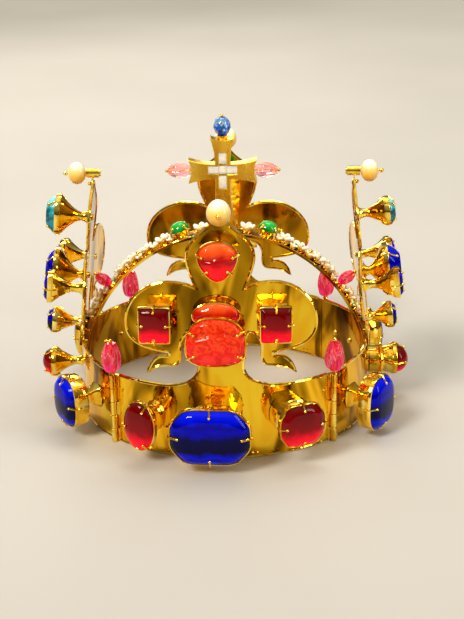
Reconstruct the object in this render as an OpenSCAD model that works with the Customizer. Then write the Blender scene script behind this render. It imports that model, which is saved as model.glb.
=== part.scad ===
// Regalia crown: four hinged lily plates, a pair of crossing arches and a cross.
// Origin: centre of the band's bottom edge. +Z up, the front lily faces -Y.

/* [Band and lilies] */
// Outer radius of the band
band_r = 95; // [93:1:97]
// Height of the band
band_h = 45; // [43:1:47]
// Thickness of the sheet that the plates are cut from
sheet = 1.2; // [1:0.1:1.4]
// Height of the lily tips above the bottom edge
lily_h = 150; // [148:1:152]
// Distance of the lily tips from the middle of the crown
lily_tip_r = 84; // [83:1:86]
// Radius of the gentle bend across each lily
lily_bend = 400; // [300:10:600]

/* [Hinges] */
// Distance of the hinge pins from the crown's axis
hinge_r = 97.4; // [97.3:0.1:97.8]
// Knuckles in one hinge
knuckles = 5; // [5:2:7]
// Outer radius of a knuckle
knuckle_r = 2.2; // [2.1:0.1:2.3]
// Radius of the removable hinge pin
pin_r = 1; // [0.9:0.1:1.2]
// Running clearance of a pin in its bore, on the radius
pin_clearance = 0.05; // [0.03:0.01:0.08]
// Length of the spinel bead on a pin
bead_len = 20; // [16:1:22]
// Largest radius of the bead on a pin
bead_r = 6.3; // [5:0.1:6.5]

/* [Arches] */
// Half span of an arch, at the middle of its strap
arch_a = 92.6; // [92.4:0.1:92.6]
// Rise of an arch above the top of its straight feet
arch_b = 96; // [95:1:98]
// Height where the straight feet end and the curve starts
arch_spring = 20; // [19:1:21]
// Height of the lower end of the feet
foot_z = 11; // [9:1:13]
// Width of the strap
strap_w = 12; // [11:0.5:13]
// Thickness of the strap
strap_t = 1.5; // [1.3:0.1:1.5]

/* [Cross] */
// Height of the middle of the cross arms
cross_z = 157; // [155:1:159]
// Distance from the middle of the cross to the end of an arm
cross_arm = 22; // [20:1:24]
// Thickness of the cross body
cross_t = 8.5; // [7:0.5:9]

/* [Pearls] */
// Radius of the pearls on the front and back lily tips
tip_pearl_r = 7.2; // [6.8:0.2:7.6]
// Radius of the pearls on the side lily tips
side_pearl_r = 6; // [5.6:0.2:6.4]
// Radius of the pearls in the flowers of the arches
arch_pearl_r = 3.6; // [3.2:0.1:4]

/* [Hidden] */
$fn = 48;

gold = "goldenrod";
spinel_red = "crimson";
bead_pink = "palevioletred";
sapphire_blue = "mediumblue";
aqua_blue = "lightseagreen";
emerald_green = "seagreen";
pearl_white = "ivory";

FRONT = 0;
RIGHT = 90;
BACK = 180;
LEFT = 270;

band_in = band_r - sheet;
lean = atan((band_r - lily_tip_r) / (lily_h - band_h));
lily_foot_z = 53;
lily_lap = 0.2;
edge_gap = 0.4;
rivet_r = 1.2;
stud_r = 1.2;
stud_hole_r = 2.2;
stud_z = 18;
stud_reach = 1.6;
foot_gap = band_in - arch_a - strap_t / 2;
knuckle_gap = 0.3;
knuckle_h = (band_h - (knuckles - 1) * knuckle_gap) / knuckles;
leaf_w = 5;
leaf_t = 1.4;
bead_z = 47.6;
bead_bore_r = 0.8;
pearl_z = lily_h + 6;
collar_r = 3;
collar_in = lily_tip_r - 5;
pearl_out = lily_tip_r + 9.3;
knob_r = 1.5;
peg_r = 0.5;
rim_t = 1.2;
rim_h = 3;
seat = 2;
lap = 0.9;
boss_z = arch_spring + arch_b + strap_t / 2 + lap;
boss_h = 3;
flower_s = [8.9, 24.4, 39.2, 44.2, 58.5, 64.5];
flower_r = 3.4;
ball_s = 35.3;
emerald_s = 16.8;
emerald_r = 5.8;
emerald_stand = 6.5;
pearl_s = 31.4;
pearl_stand = 2.6;
spinel_s = 52;
arch_bead_len = 11;
cross_neck = 4.8;
cross_flare = 7.8;
cross_foot = 8;
cross_foot_z = boss_z + boss_h;
cell_depth = 1.6;
cell_wall = 0.3;
cross_bead_len = 14;
top_stone_h = 12.5;

// Stones of one plate. Each row: cut, angle round the crown, height, width, tall,
// distance from the wall to the girdle, height of the crown of the stone.
SPINELS_FRONT = [
  ["pear", -0.6, 127.5, 23, 22, 17, 4],
  ["square", -24.2, 89.5, 17, 20, 17, 2.5],
  ["square", 20.4, 89.5, 17, 20, 17, 2.5],
  ["cushion", -1.6, 80, 36, 28, 18, 5],
  ["oval", -26, 25.5, 20, 30, 19, 4],
  ["octagon", 24.5, 27.5, 28, 25, 22, 3.5]
];
SAPPHIRES_FRONT = [["octagon", -3.3, 25, 47, 34, 23, 4.5]];
SPINELS_RIGHT = [["oval", 0, 27, 18, 18, 18, 8]];
SPINELS_LEFT = [["oval", 0, 27, 17, 17, 21, 7]];
AQUAMARINES_RIGHT = [["oval", 0, 127.5, 16, 17, 20, 4]];
AQUAMARINES_LEFT = [["oval", 0, 126.7, 17, 25, 22, 6]];
SAPPHIRES_RIGHT = [
  ["square", -20, 90, 13, 14, 22, 2.5],
  ["square", 20, 90, 13, 14, 22, 2.5],
  ["cushion", 0, 88.5, 22, 32, 16.5, 8],
  ["oval", 0, 57, 13, 15.5, 16, 3],
  ["cushion", -32, 22.5, 28, 33, 21, 4.5],
  ["cushion", 31, 24, 28, 30, 21, 4.5]
];
SAPPHIRES_LEFT = [
  ["square", -20, 90, 13, 15, 22, 2.5],
  ["square", 20, 89, 13, 15, 22, 2.5],
  ["cushion", 0, 87.5, 22, 31, 21, 5.5],
  ["oval", 0, 54.5, 13, 15.5, 20, 4],
  ["cushion", -31, 24, 28, 30, 21, 4.5],
  ["cushion", 31, 23.5, 28, 30, 21, 4.5]
];
function of_plate(side, front, right, left) = [front, right, front, left][side / 90];
function spinels_of(side) = of_plate(side, SPINELS_FRONT, SPINELS_RIGHT, SPINELS_LEFT);
function sapphires_of(side) =
  of_plate(side, SAPPHIRES_FRONT, SAPPHIRES_RIGHT, SAPPHIRES_LEFT);
function aquamarines_of(side) = of_plate(side, [], AQUAMARINES_RIGHT, AQUAMARINES_LEFT);
function stones_of(side) =
  concat(spinels_of(side), sapphires_of(side), aquamarines_of(side));

function tip_r_of(side) = side % 180 == 0 ? tip_pearl_r : side_pearl_r;

// Half distance between the two posts of a broad collet, or 0 for a single post
function post_x(stone) = stone[3] > 23 ? 9 : 0;

// How far a curve of radius r falls away at x beside its middle
function sag(r, x) = r - sqrt(r * r - x * x);

// How far the wall falls away behind a post at x beside the middle of its collet
function post_sag(stone, x) = sag(stone[2] < band_h ? band_r : lily_bend, x);

// Radius of the outside of the wall at height z
function wall_r(z) = z < band_h ? band_r : band_r - (z - band_h) * tan(lean);

// Points of a cubic curve from p0 to p3, without p3 itself
function curve(p0, p1, p2, p3, n = 6) = [
  for (i = [0 : n - 1])
    let (t = i / n, s = 1 - t)
      s * s * s * p0 + 3 * s * s * t * p1 + 3 * s * t * t * p2 + t * t * t * p3
];

// Right half of the lily, from the band's top edge up to the tip
LILY_HALF = concat(
  [[68, band_h]],
  curve([36, band_h + 1], [26, band_h + 2], [14, 50], [13, 60]),
  curve([13, 60], [13, 70], [14, 80], [16.5, 81.5]),
  curve([16.5, 81.5], [21, 82.5], [25, 77], [24.8, 71]),
  curve([24.8, 71], [24, 64], [25, 61], [30, 61]),
  curve([30, 61], [36, 61], [41, 60], [44.3, 56]),
  curve([44.3, 56], [42, 63], [39, 67.5], [31, 66]),
  [[31, 69]],
  curve([31, 69], [42, 71], [57, 72], [57, 86.5], 8),
  curve([57, 86.5], [57, 102], [43, 111.5], [31, 111.5], 8),
  curve([31, 111.5], [23, 111.5], [17, 110], [13.5, 106.8]),
  curve([13.5, 106.8], [18, 117], [20.5, 124], [19.8, 129]),
  curve([19.8, 129], [18, 139], [6, 143], [2, lily_h]),
  [[2, lily_h]]
);

module on_side(side) {
  rotate([0, 0, side]) children();
}

// Puts children on the outside of the wall, their +Z pointing out of it
module on_wall(angle, z) {
  if (z < band_h) {
    rotate([0, 0, angle]) translate([0, -band_r, z]) rotate([90, 0, 0]) children();
  } else {
    x = wall_r(z) * sin(angle);
    translate([x, lily_lap + sag(lily_bend, x) / cos(lean) - wall_r(z), z])
      rotate([-lean, 0, 0])
        rotate([90, 0, asin(x / lily_bend)])
          children();
  }
}

module lily_outline() {
  mirrored = [for (i = [len(LILY_HALF) - 1 : -1 : 0]) [-LILY_HALF[i][0], LILY_HALF[i][1]]];
  polygon(concat([[68, 0]], LILY_HALF, mirrored, [[-68, 0]]));
}

// A quarter of the crown, cut back a little at each hinge line
module quarter() {
  cut = edge_gap * sqrt(2);
  reach = 2 * band_r;
  linear_extrude(lily_h + 1)
    polygon([[0, -cut], [reach, -cut - reach], [-reach, -cut - reach]]);
}

// The round band, and the much flatter sheet of the lily that leans inwards above it
module wall_solid() {
  neck_r = wall_r(lily_foot_z);
  rotate_extrude($fn = 360)
    polygon([
      [band_in, 0], [band_r, 0], [band_r, band_h],
      [neck_r, lily_foot_z], [neck_r - sheet, lily_foot_z], [band_in, band_h]
    ]);
  intersection() {
    translate([-band_r, -band_r, lily_foot_z]) cube([2 * band_r, band_r, lily_h]);
    translate([0, lily_lap - band_r, band_h])
      rotate([-lean, 0, 0])
        translate([0, lily_bend, 0])
          difference() {
            cylinder(r = lily_bend, h = lily_h, $fn = 720);
            translate([0, 0, -1])
              cylinder(r = lily_bend - sheet, h = lily_h + 2, $fn = 720);
          }
  }
}

module plate(side) {
  color(gold)
    on_side(side)
      difference() {
        intersection() {
          wall_solid();
          translate([0, -60, 0])
            rotate([90, 0, 0])
              linear_extrude(band_r) lily_outline();
          quarter();
        }
        for (stone = stones_of(side))
          on_wall(stone[1], stone[2]) rivet_shanks(stone, 2 * sheet);
        on_wall(0, stud_z) translate([0, 0, -2 * sheet]) cylinder(r = stud_r, h = 4 * sheet);
      }
}

module rivet_shanks(stone, half) {
  for (x = post_x(stone) == 0 ? [0] : [-post_x(stone), post_x(stone)])
    translate([x, 0, -half]) cylinder(r = rivet_r, h = 2 * half, $fn = 24);
}

// Height of a rivet head: filed flush with the wall where the foot of an arch covers it
function head_h(stone, x) =
  stone[2] < 40 && abs(band_r * sin(stone[1]) + x) < strap_w / 2 + 2.7 ? 0 : 1.1;

// Shanks through the wall with round heads inside, and the stud that finds the arch foot
module rivets(side) {
  head_r = 2.2;
  color(gold)
    on_side(side) {
      difference() {
        for (stone = stones_of(side))
          on_wall(stone[1], stone[2])
            for (x = post_x(stone) == 0 ? [0] : [-post_x(stone), post_x(stone)])
              translate([x, 0, -sheet - post_sag(stone, x) - head_h(stone, x)])
                cylinder(r1 = head_r - 0.6, r2 = head_r, h = head_h(stone, x) + 0.4, $fn = 24);
        wall_solid();
      }
      for (stone = stones_of(side))
        on_wall(stone[1], stone[2])
          for (x = post_x(stone) == 0 ? [0] : [-post_x(stone), post_x(stone)])
            translate([x, 0, -sheet - post_sag(stone, x) - head_h(stone, x) / 2])
              cylinder(r = rivet_r, h = sheet + post_sag(stone, x) + head_h(stone, x) / 2, $fn = 24);
      on_wall(0, stud_z) {
        if (side == FRONT) {
          translate([0, 0, -sheet - foot_gap]) cylinder(r = head_r, h = foot_gap - 0.05);
          translate([0, 0, -sheet - foot_gap - strap_t])
            cylinder(r = stud_hole_r, h = strap_t);
          translate([0, 0, -sheet - foot_gap - strap_t - 0.8])
            cylinder(r1 = 2.2, r2 = 3, h = 0.8);
        } else {
          translate([0, 0, -sheet - stud_reach]) cylinder(r = stud_r, h = stud_reach);
        }
        translate([0, 0, -sheet]) cylinder(r = stud_r, h = sheet);
        cylinder(r1 = 2, r2 = 1.2, h = 0.8);
      }
    }
}

// Outline of a stone's girdle, grown by g
module girdle(cut, w, h, g = 0) {
  a = w / 2 + g;
  b = h / 2 + g;
  if (cut == "oval")
    polygon([for (i = [0 : 23]) [a * cos(15 * i), b * sin(15 * i)]]);
  if (cut == "cushion")
    polygon([
      for (i = [0 : 23])
        let (c = cos(15 * i), s = sin(15 * i))
          [a * sign(c) * pow(abs(c), 0.7), b * sign(s) * pow(abs(s), 0.7)]
    ]);
  if (cut == "pear")
    polygon([
      for (i = [0 : 23])
        let (c = cos(15 * i), s = sin(15 * i))
          [a * c * (1 + 0.3 * s) / 1.08, b * s]
    ]);
  if (cut == "square")
    square([2 * a, 2 * b], center = true);
  if (cut == "octagon")
    polygon([
      [a, 0.42 * b], [0.62 * a, b], [-0.62 * a, b], [-a, 0.42 * b],
      [-a, -0.42 * b], [-0.62 * a, -b], [0.62 * a, -b], [a, -0.42 * b]
    ]);
}

// Trumpet collet: foot on the wall, flared bowl, upright rim and four claw tips
module collet(stone) {
  w = stone[3];
  h = stone[4];
  stand = stone[5];
  foot = 3;
  for (x = post_x(stone) == 0 ? [0] : [-post_x(stone), post_x(stone)])
    translate([x, 0, 0]) cylinder(r1 = 2.8, r2 = 1.8, h = foot);
  difference() {
    if (stone[0] == "oval" && w == h) {
      translate([0, 0, foot - 0.5])
        cylinder(r1 = 4, r2 = w / 2 + rim_t, h = stand - rim_h - foot + 0.5);
      translate([0, 0, stand - rim_h]) cylinder(r = w / 2 + rim_t, h = rim_h);
    } else hull() {
      translate([0, 0, foot - 0.5])
        linear_extrude(0.5)
          square([2 * post_x(stone) + 4, 4], center = true);
      translate([0, 0, stand - rim_h])
        linear_extrude(rim_h) girdle(stone[0], w, h, rim_t);
    }
    translate([0, 0, stand - seat]) linear_extrude(seat + 1) girdle(stone[0], w, h);
  }
  for (i = [0 : 3])
    rotate([0, 0, 90 * i])
      translate([(i % 2 == 0 ? w : h) / 2 + rim_t, 0, stand - 4])
        cylinder(r = 0.7, h = 4.6, $fn = 16);
}

module stone_solid(stone) {
  w = stone[3];
  h = stone[4];
  top = 0.55;
  translate([0, 0, stone[5] - seat])
    hull() {
      linear_extrude(seat + 0.6) girdle(stone[0], w, h);
      linear_extrude(seat + stone[6]) girdle(stone[0], w * top, h * top);
    }
}

module collets(side) {
  color(gold)
    on_side(side)
      for (stone = stones_of(side))
        on_wall(stone[1], stone[2]) collet(stone);
}

module stones(side, rows, tint) {
  color(tint)
    on_side(side)
      for (stone = rows)
        on_wall(stone[1], stone[2]) stone_solid(stone);
}

// Collar on the lily tip, tiny ball below it and the peg that carries the pearl
module pearl_mount(side) {
  peg_end = pearl_out + tip_r_of(side) + knob_r;
  collar_len = pearl_out - tip_r_of(side) - 0.1 - collar_in;
  color(gold)
    on_side(side) {
      translate([0, 0, pearl_z])
        rotate([90, 0, 0]) {
          translate([0, 0, collar_in]) cylinder(r = collar_r, h = collar_len);
          translate([0, 0, collar_in]) cylinder(r = peg_r, h = peg_end - collar_in, $fn = 16);
          translate([0, 0, peg_end]) sphere(r = knob_r, $fn = 24);
          translate([0, 0, collar_in - 1]) cylinder(r = 2, h = 1.2);
        }
      translate([-1.6, -lily_tip_r, lily_h])
        cube([3.2, sheet, pearl_z - lily_h]);
      translate([0, -lily_tip_r - 1.4, lily_h - 1]) sphere(r = 1.3, $fn = 24);
    }
}

module tip_pearl(side) {
  color(pearl_white)
    on_side(side)
      translate([0, -pearl_out, pearl_z])
        rotate([90, 0, 0])
          difference() {
            sphere(r = tip_r_of(side));
            cylinder(r = peg_r, h = 4 * tip_pearl_r, center = true, $fn = 16);
          }
}

// One knuckle with its leaf. hand is +1 when the leaf runs to +X seen from outside.
module knuckle(index, hand, open) {
  z = index * (knuckle_h + knuckle_gap);
  difference() {
    union() {
      translate([0, -hinge_r, z]) cylinder(r = knuckle_r, h = knuckle_h);
      translate([hand > 0 ? 0 : -leaf_w, -band_r - leaf_t, z])
        cube([leaf_w, leaf_t + 1, knuckle_h]);
    }
    translate([0, -hinge_r, z - 1])
      cylinder(r = pin_r + pin_clearance, h = knuckle_h + 2);
    translate([0, 0, z - 1]) cylinder(r = band_r, h = knuckle_h + 2, $fn = 120);
    if (open)
      translate([hand > 0 ? -2 * leaf_w : 0, -hinge_r - leaf_w, z - 1])
        cube([2 * leaf_w, 2 * leaf_w, knuckle_h + 2]);
  }
}

// Knuckles at both ends of a plate. The right end of the front plate is at +45 degrees.
module plate_knuckles(side) {
  even = [for (i = [0 : 2 : knuckles - 1]) i];
  odd = [for (i = [1 : 2 : knuckles - 2]) i];
  right_end = side == FRONT || side == RIGHT ? even : odd;
  left_end = side == FRONT || side == LEFT ? even : odd;
  color(gold)
    on_side(side) {
      rotate([0, 0, 45])
        for (i = right_end) knuckle(i, -1, side == BACK);
      rotate([0, 0, -45])
        for (i = left_end) knuckle(i, 1, false);
    }
}

module hinge_pin(angle) {
  tip_z = bead_z + bead_len;
  color(gold)
    rotate([0, 0, angle])
      translate([0, -hinge_r, 0]) {
        cylinder(r = pin_r, h = band_h + 0.3);
        translate([0, 0, band_h + 0.3]) cylinder(r1 = 1.9, r2 = 1.5, h = 1);
        translate([0, 0, band_h + 1]) cylinder(r = bead_bore_r, h = tip_z - band_h);
        translate([0, 0, bead_z - 1]) cylinder(r1 = 1.3, r2 = 1.8, h = 1);
        translate([0, 0, tip_z]) sphere(r = 1.4, $fn = 24);
      }
}

module barrel_bead(len, r, bore) {
  difference() {
    rotate_extrude()
      polygon(concat(
        [[0, 0]],
        [for (i = [0 : 12]) [0.25 * r + 0.75 * r * sin(15 * i), len * (1 - cos(15 * i)) / 2]],
        [[0, len]]
      ));
    translate([0, 0, -1]) cylinder(r = bore, h = len + 2);
  }
}

module pin_bead(angle) {
  color(bead_pink)
    rotate([0, 0, angle])
      translate([0, -hinge_r, bead_z]) barrel_bead(bead_len - 1.2, bead_r, bead_bore_r);
}

// Half of the strap's side outline, offset by d from its middle line
function arch_side(d) = [
  for (i = [0 : 24])
    [(arch_a + d) * cos(7.5 * i), arch_spring + (arch_b + d) * sin(7.5 * i)]
];

module strap_outline(raise = 0) {
  h = strap_t / 2;
  inner = arch_side(-h);
  translate([0, raise])
    polygon(concat(
      [[arch_a + h, foot_z - raise]],
      arch_side(h),
      [[-arch_a - h, foot_z - raise], [-arch_a + h, foot_z - raise]],
      [for (i = [24 : -1 : 0]) inner[i]],
      [[arch_a - h, foot_z - raise]]
    ));
}

module strap(raise = 0) {
  rotate([90, 0, 0])
    translate([0, 0, -strap_w / 2]) linear_extrude(strap_w) strap_outline(raise);
}

module stud_hole() {
  rotate([90, 0, 0])
    translate([0, 0, arch_a - 2 * strap_t]) cylinder(r = stud_hole_r, h = 4 * strap_t);
}

module arch_side_to_side() {
  color(gold)
    difference() {
      strap();
      on_side(RIGHT) translate([0, 0, stud_z]) stud_hole();
      on_side(LEFT) translate([0, 0, stud_z]) stud_hole();
      cylinder(r = 2, h = lily_h);
    }
}

module arch_front_to_back() {
  color(gold)
    difference() {
      rotate([0, 0, 90]) strap(lap);
      strap();
      translate([0, 0, stud_z]) stud_hole();
      on_side(BACK) translate([0, 0, stud_z]) stud_hole();
      cylinder(r = 2, h = lily_h);
    }
}

// Puts children on top of an arch, s degrees along it from the crossing
module on_arch(s) {
  tilt = atan2(sin(s) / arch_a, cos(s) / arch_b);
  translate([arch_a * sin(s), 0, arch_spring + arch_b * cos(s)])
    rotate([0, tilt, 0])
      translate([0, 0, strap_t / 2])
        children();
}

// Repeats children on the four half arches
module each_half_arch() {
  for (side = [FRONT, RIGHT, BACK, LEFT])
    rotate([0, 0, side])
      translate([0, 0, side % 180 == 0 ? 0 : lap])
        children();
}

// Round boss over the crossing with a rivet down through both straps
module arch_boss() {
  color(gold) {
    translate([0, 0, boss_z]) cylinder(r1 = 8.5, r2 = 7, h = boss_h);
    translate([0, 0, boss_z - lap - strap_t - 0.6]) cylinder(r = 2, h = lap + strap_t + 0.6);
    difference() {
      translate([0, 0, boss_z - lap - strap_t - 1.2]) cylinder(r1 = 2.5, r2 = 4, h = 1.2);
      strap();
    }
  }
}

module flower(r) {
  cylinder(r1 = 0.6 * r, r2 = r, h = 2.4);
  for (i = [0 : 4])
    rotate([0, 0, 72 * i]) translate([0.62 * r, 0, 2.4]) sphere(r = 0.34 * r, $fn = 16);
  translate([0, 0, 2.6]) sphere(r = 0.35 * r, $fn = 16);
}

module emerald_cup() {
  difference() {
    cylinder(r1 = 2.6, r2 = emerald_r + 0.8, h = emerald_stand);
    translate([0, 0, emerald_stand - 1]) cylinder(r = emerald_r, h = 2);
  }
}

module pearl_cup() {
  difference() {
    cylinder(r1 = 2, r2 = 3, h = pearl_stand);
    translate([0, 0, pearl_stand + arch_pearl_r - 1]) sphere(r = arch_pearl_r);
  }
}

module arch_collets() {
  color(gold)
    difference() {
      each_half_arch() {
        for (s = flower_s) on_arch(s) translate([0, 0, -0.4]) flower(flower_r);
        on_arch(ball_s) {
          cylinder(r = 1, h = 3, $fn = 24);
          translate([0, 0, 3.6]) sphere(r = 1.6, $fn = 24);
        }
        on_arch(emerald_s) translate([0, 0, -0.4]) emerald_cup();
        on_arch(pearl_s) translate([0, 0, -0.4]) pearl_cup();
        on_arch(spinel_s) {
          translate([0, 0, -0.4]) cylinder(r1 = 2.6, r2 = 1.4, h = 2.4, $fn = 24);
          cylinder(r = bead_bore_r, h = arch_bead_len + 3, $fn = 24);
          translate([0, 0, arch_bead_len + 3.2]) sphere(r = 1.1, $fn = 24);
        }
      }
      strap();
      rotate([0, 0, 90]) strap(lap);
    }
}

module arch_pearls() {
  color(pearl_white)
    each_half_arch()
      on_arch(pearl_s)
        translate([0, 0, pearl_stand + arch_pearl_r - 1.4]) sphere(r = arch_pearl_r);
}

module arch_emeralds() {
  dome = 4;
  color(emerald_green)
    each_half_arch()
      on_arch(emerald_s)
        translate([0, 0, emerald_stand - 1.4])
          rotate_extrude()
            polygon(concat(
              [[0, 0]],
              [for (i = [0 : 6]) [emerald_r * cos(15 * i), 1 + dome * sin(15 * i)]]
            ));
}

module arch_spinels() {
  color(bead_pink)
    each_half_arch()
      on_arch(spinel_s)
        translate([0, 0, 2]) barrel_bead(arch_bead_len, 4, bead_bore_r);
}

// Outline of a short arm pointing to +X, from its lower neck round to its upper neck
function arm_outline(reach, flare) = concat(
  curve([cross_neck, -cross_neck], [reach * 0.5, -cross_neck], [reach * 0.8, -flare * 0.8],
    [reach, -flare]),
  curve([reach, -flare], [reach - 2.4, -flare * 0.4], [reach - 2.4, flare * 0.4],
    [reach, flare]),
  curve([reach, flare], [reach * 0.8, flare * 0.8], [reach * 0.5, cross_neck],
    [cross_neck, cross_neck])
);

function turn_points(points, a) = [
  for (p = points) [p[0] * cos(a) - p[1] * sin(a), p[0] * sin(a) + p[1] * cos(a)]
];

// Three short flared arms and a long lower arm that widens onto the boss
module cross_outline() {
  foot = cross_foot_z - cross_z;
  arm = arm_outline(cross_arm, cross_flare);
  polygon(concat(
    arm, turn_points(arm, 90), turn_points(arm, 180),
    curve([-cross_neck, -cross_neck], [-cross_neck, -18], [-cross_neck - 0.5, -26],
      [-cross_foot, foot]),
    [[-cross_foot, foot]],
    curve([cross_foot, foot], [cross_neck + 0.5, -26], [cross_neck, -18],
      [cross_neck, -cross_neck])
  ));
}

// Middle, width and height of each cell of the recessed cross, from the cross middle
CELLS = [[0, 8.5, 5, 7], [-5.8, 1, 7, 5], [5.8, 1, 7, 5], [0, 1, 4.6, 5], [0, -7, 5, 8]];

// Cup of the top stone, sunk into the end of the upper arm
module stone_cup() {
  translate([0, 0, -2.6]) cylinder(r1 = 2.4, r2 = 4, h = 3.6);
}

module cross_body() {
  color(gold)
    translate([0, cross_t / 2, cross_z])
      rotate([90, 0, 0])
        difference() {
          linear_extrude(cross_t) cross_outline();
          for (cell = CELLS)
            translate([cell[0], cell[1], cross_t - cell_depth])
              linear_extrude(2 * cell_depth)
                square([cell[2] + cell_wall, cell[3] + cell_wall], center = true);
          for (hand = [-1, 1])
            translate([hand * cross_arm / 2, 0, cross_t / 2])
              rotate([0, 90 * hand, 0]) cylinder(r = 0.6, h = cross_arm);
          translate([0, cross_arm, cross_t / 2]) rotate([-90, 0, 0]) stone_cup();
        }
}

module cross_crystals() {
  color("lavender")
    translate([0, -cross_t / 2 + cell_depth, cross_z])
      rotate([90, 0, 0])
        for (cell = CELLS)
          translate([cell[0], cell[1], 0])
            hull() {
              linear_extrude(cell_depth - 0.7)
                square([cell[2] - cell_wall, cell[3] - cell_wall], center = true);
              linear_extrude(cell_depth - 0.1)
                square([cell[2] - 2, cell[3] - 2], center = true);
            }
}

module cross_beads() {
  color(bead_pink)
    for (hand = [-1, 1])
      translate([hand * (cross_arm - 1.4), 0, cross_z])
        rotate([0, 90 * hand, 0])
          barrel_bead(cross_bead_len, 5, 0.6);
}

module cross_bead_pins() {
  color(gold)
    for (hand = [-1, 1])
      translate([hand * cross_arm / 2, 0, cross_z])
        rotate([0, 90 * hand, 0]) {
          cylinder(r = 0.6, h = cross_arm / 2 + cross_bead_len - 0.4);
          translate([0, 0, cross_arm / 2 + cross_bead_len - 0.4]) sphere(r = 1.1, $fn = 24);
        }
}

module cross_collet() {
  top = cross_z + cross_arm;
  color(gold) {
    difference() {
      translate([0, 0, top]) stone_cup();
      translate([0, 0, top - 0.4]) cylinder(r1 = 2.2, r2 = 3.45, h = 1.6);
    }
    translate([0, 0, top - 1]) cylinder(r = 0.6, h = top_stone_h + 1.6);
    translate([0, 0, top + top_stone_h + 0.95]) sphere(r = 1, $fn = 24);
  }
}

module cross_sapphire() {
  color(sapphire_blue)
    translate([0, 0, cross_z + cross_arm])
      difference() {
        rotate_extrude($fn = 16)
          polygon([
            [0, -0.4], [2, -0.4], [4.6, 3], [5.8, 6.5], [5.2, 9.5], [2.6, top_stone_h],
            [0, top_stone_h]
          ]);
        translate([0, 0, -1]) cylinder(r = 0.6, h = 2 * top_stone_h);
      }
}

plate(FRONT);  // front_plate
plate_knuckles(FRONT);  // front_knuckles
collets(FRONT);  // front_collets
stones(FRONT, spinels_of(FRONT), spinel_red);  // front_spinels
stones(FRONT, sapphires_of(FRONT), sapphire_blue);  // front_sapphires
rivets(FRONT);  // front_rivets
pearl_mount(FRONT);  // front_pearl_mount
tip_pearl(FRONT);  // front_pearl
plate(RIGHT);  // right_plate
plate_knuckles(RIGHT);  // right_knuckles
collets(RIGHT);  // right_collets
stones(RIGHT, spinels_of(RIGHT), spinel_red);  // right_spinels
stones(RIGHT, sapphires_of(RIGHT), sapphire_blue);  // right_sapphires
stones(RIGHT, aquamarines_of(RIGHT), aqua_blue);  // right_aquamarine
rivets(RIGHT);  // right_rivets
pearl_mount(RIGHT);  // right_pearl_mount
tip_pearl(RIGHT);  // right_pearl
plate(BACK);  // back_plate
plate_knuckles(BACK);  // back_knuckles
collets(BACK);  // back_collets
stones(BACK, spinels_of(BACK), spinel_red);  // back_spinels
stones(BACK, sapphires_of(BACK), sapphire_blue);  // back_sapphires
rivets(BACK);  // back_rivets
pearl_mount(BACK);  // back_pearl_mount
tip_pearl(BACK);  // back_pearl
plate(LEFT);  // left_plate
plate_knuckles(LEFT);  // left_knuckles
collets(LEFT);  // left_collets
stones(LEFT, spinels_of(LEFT), spinel_red);  // left_spinels
stones(LEFT, sapphires_of(LEFT), sapphire_blue);  // left_sapphires
stones(LEFT, aquamarines_of(LEFT), aqua_blue);  // left_aquamarine
rivets(LEFT);  // left_rivets
pearl_mount(LEFT);  // left_pearl_mount
tip_pearl(LEFT);  // left_pearl
hinge_pin(45);  // front_right_hinge_pin
pin_bead(45);  // front_right_pin_bead
hinge_pin(135);  // back_right_hinge_pin
pin_bead(135);  // back_right_pin_bead
hinge_pin(225);  // back_left_hinge_pin
pin_bead(225);  // back_left_pin_bead
hinge_pin(315);  // front_left_hinge_pin
pin_bead(315);  // front_left_pin_bead
arch_side_to_side();
arch_front_to_back();
arch_boss();
arch_collets();
arch_pearls();
arch_emeralds();
arch_spinels();
cross_body();
cross_crystals();
cross_beads();
cross_bead_pins();
cross_collet();
cross_sapphire();
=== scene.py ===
"""Looks of the hinged lily crown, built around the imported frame. Lengths are in millimetres
until a mesh is made, and every mesh is made in metres in the frame's own place."""
import math

import bpy
from mathutils import Matrix, Vector, noise
from mathutils.geometry import delaunay_2d_cdt


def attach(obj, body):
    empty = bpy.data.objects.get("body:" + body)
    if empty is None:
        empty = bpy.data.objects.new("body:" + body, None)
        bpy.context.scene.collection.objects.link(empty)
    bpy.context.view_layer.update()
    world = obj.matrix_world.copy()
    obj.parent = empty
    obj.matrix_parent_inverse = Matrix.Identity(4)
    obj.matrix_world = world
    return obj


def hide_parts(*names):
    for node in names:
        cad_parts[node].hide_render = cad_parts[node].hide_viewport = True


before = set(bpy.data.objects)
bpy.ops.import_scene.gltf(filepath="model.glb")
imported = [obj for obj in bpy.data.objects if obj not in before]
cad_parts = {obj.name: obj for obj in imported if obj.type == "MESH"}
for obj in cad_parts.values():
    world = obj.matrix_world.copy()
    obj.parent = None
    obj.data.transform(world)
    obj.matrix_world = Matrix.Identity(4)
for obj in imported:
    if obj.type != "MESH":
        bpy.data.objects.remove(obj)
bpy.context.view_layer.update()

MM = 0.001
SIDES = {"front": 0, "right": 90, "back": 180, "left": 270}
# The body that the arches and the cross ride on
CARRIER = "front_panel"

# The wall of the plates
BAND_R = 95.0
BAND_H = 45.0
KNEE = 6.0
SHEET = 1.2
SHEET_FOOT = 0.3
LILY_H = 150.0
LILY_TIP_R = 84.0
SLOPE = (BAND_R - LILY_TIP_R) / (LILY_H - BAND_H)
LEAN = math.degrees(math.atan(SLOPE))
LILY_BEND = 400.0
LILY_BEND_FROM = 45.5
LILY_BEND_OVER = 10
LILY_LAP = 0.2
END_X = BAND_R * math.sin(math.radians(45) - 0.4 / BAND_R)
WIRE_SHORT = 0.6
TOP_WIRE_R = 1.1
FOOT_WIRE_R = 0.85
HOLE_Z = 3.6
HOLE_R = 0.5
HOLE_STEP = 8
HOLE_PAIR = 0.9

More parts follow.
